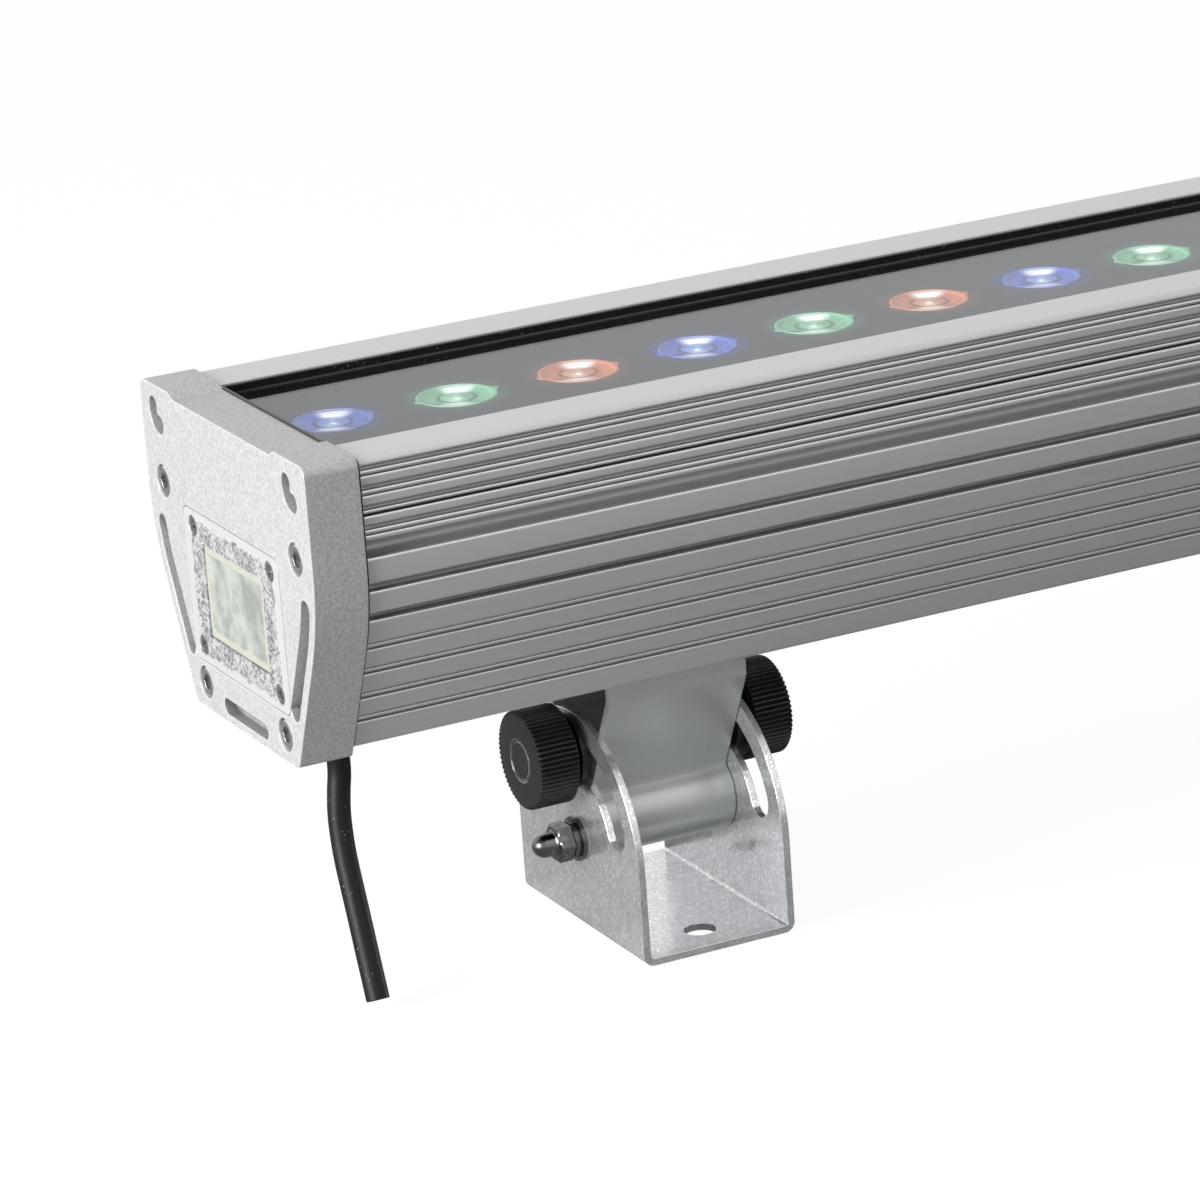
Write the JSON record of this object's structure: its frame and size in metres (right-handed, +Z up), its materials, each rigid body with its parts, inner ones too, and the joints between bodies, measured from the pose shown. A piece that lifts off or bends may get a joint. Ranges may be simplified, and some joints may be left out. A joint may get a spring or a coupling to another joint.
{
  "type": "floodlight",
  "caption": "Long linear LED floodlight: ribbed aluminium bar with coloured lenses under glass and cast end caps, tilting on slotted sheet brackets clamped by ribbed knobs.",
  "frame": {"origin": "centre of the part's footprint, on the surface that the brackets stand on", "axes": "+X along the bar, away from the end with the window and cord; -Y toward the viewer of the picture; +Z up"},
  "size_m": [1, 0.11, 0.1632],
  "materials": {
    "anodised": "satin clear-anodised extrusion, fine brushed grain",
    "cast_silver": "silver metallic lacquer on a fine sand casting",
    "cover_glass": "clear toughened glass, polished",
    "seal": "matte black silicone",
    "panel": "matte grey",
    "board_white": "white solder mask",
    "chip": "yellow resin",
    "holder": "light grey moulded",
    "lens_blue": "clear lens tinted blue",
    "lens_green": "clear lens tinted green",
    "lens_red": "clear lens tinted red",
    "steel": "bright stainless steel",
    "zinc": "bright zinc-coated sheet with fine spangle",
    "frame": "silver with a fine glitter texture",
    "pane": "milky translucent",
    "pcb": "green solder mask",
    "display": "white display body",
    "driver_case": "plain grey case",
    "terminal": "moulded polyamide",
    "arm_grey": "satin grey powder coat",
    "black_plastic": "moulded black nylon",
    "cord_black": "smooth black flexible sheath"
  },
  "bodies": {
    "left_bracket": {"bracket_left": "zinc", "pivot_bolt_left": "steel", "flat_washer_left": "steel", "spring_washer_left": "steel", "pivot_nut_left": "steel"},
    "bar": {"housing": "anodised", "glass_cover": "cover_glass", "glass_seal": "seal", "lens_panel": "panel", "led_board": "board_white", "led_chips": "chip", "lens_holders": "holder", "lenses_blue": "lens_blue", "lenses_green": "lens_green", "lenses_red": "lens_red", "end_cap_left": "cast_silver", "end_cap_right": "cast_silver", "cap_gaskets": "seal", "cap_screws": "steel", "window_frame": "frame", "window_gasket": "seal", "window_pane": "pane", "window_screws": "steel", "control_board": "pcb", "display_module": "display", "board_screws": "steel", "driver": "driver_case", "driver_screws": "steel", "terminal_block": "terminal", "cable_gland": "black_plastic", "gland_locknut": "black_plastic", "supply_cord": "cord_black", "arm_left": "arm_grey", "arm_right": "arm_grey", "arm_bolts": "steel", "arm_nut_plates": "steel"},
    "right_bracket": {"bracket_right": "zinc", "pivot_bolt_right": "steel", "flat_washer_right": "steel", "spring_washer_right": "steel", "pivot_nut_right": "steel"},
    "clamp_washer_1": {"knob_washer_1": "black_plastic"},
    "clamp_knob_1": {"knob_1": "black_plastic", "knob_stud_1": "steel", "knob_plug_1": "black_plastic"},
    "clamp_washer_2": {"knob_washer_2": "black_plastic"},
    "clamp_knob_2": {"knob_2": "black_plastic", "knob_stud_2": "steel", "knob_plug_2": "black_plastic"},
    "clamp_washer_3": {"knob_washer_3": "black_plastic"},
    "clamp_knob_3": {"knob_3": "black_plastic", "knob_stud_3": "steel", "knob_plug_3": "black_plastic"},
    "clamp_washer_4": {"knob_washer_4": "black_plastic"},
    "clamp_knob_4": {"knob_4": "black_plastic", "knob_stud_4": "steel", "knob_plug_4": "black_plastic"}
  },
  "joints": [
    {"name": "tilt", "type": "hinge", "parent": "left_bracket", "child": "bar", "pos_m": [-0.3835, 0, 0.0264], "axis": [1, 0, 0], "range_deg": [-70, 70]},
    {"name": "tilt_right", "type": "hinge", "parent": "bar", "child": "right_bracket", "pos_m": [0.3835, 0, 0.0264], "axis": [1, 0, 0], "range_deg": [-70, 70]},
    {"name": "knob_travel_1", "type": "slide", "parent": "bar", "child": "clamp_washer_1", "axis": [-1, 0, 0], "range_m": [0, 0.001]},
    {"name": "knob_turn_1", "type": "hinge", "parent": "clamp_washer_1", "child": "clamp_knob_1", "pos_m": [-0.4065, 0, 0.0522], "axis": [-1, 0, 0], "range_deg": [0, 360]},
    {"name": "knob_travel_2", "type": "slide", "parent": "bar", "child": "clamp_washer_2", "axis": [1, 0, 0], "range_m": [0, 0.001]},
    {"name": "knob_turn_2", "type": "hinge", "parent": "clamp_washer_2", "child": "clamp_knob_2", "pos_m": [-0.3605, 0, 0.0522], "axis": [1, 0, 0], "range_deg": [0, 360]},
    {"name": "knob_travel_3", "type": "slide", "parent": "bar", "child": "clamp_washer_3", "axis": [-1, 0, 0], "range_m": [0, 0.001]},
    {"name": "knob_turn_3", "type": "hinge", "parent": "clamp_washer_3", "child": "clamp_knob_3", "pos_m": [0.3605, 0, 0.0522], "axis": [-1, 0, 0], "range_deg": [0, 360]},
    {"name": "knob_travel_4", "type": "slide", "parent": "bar", "child": "clamp_washer_4", "axis": [1, 0, 0], "range_m": [0, 0.001]},
    {"name": "knob_turn_4", "type": "hinge", "parent": "clamp_washer_4", "child": "clamp_knob_4", "pos_m": [0.4065, 0, 0.0522], "axis": [1, 0, 0], "range_deg": [0, 360]}
  ],
  "couplings": [
    {"joint": "tilt_right", "follows": "tilt", "ratio": -1},
    {"joint": "knob_turn_1", "follows": "knob_travel_1", "rad_per_m": 6283.2},
    {"joint": "knob_turn_2", "follows": "knob_travel_2", "rad_per_m": 6283.2},
    {"joint": "knob_turn_3", "follows": "knob_travel_3", "rad_per_m": 6283.2},
    {"joint": "knob_turn_4", "follows": "knob_travel_4", "rad_per_m": 6283.2}
  ]
}
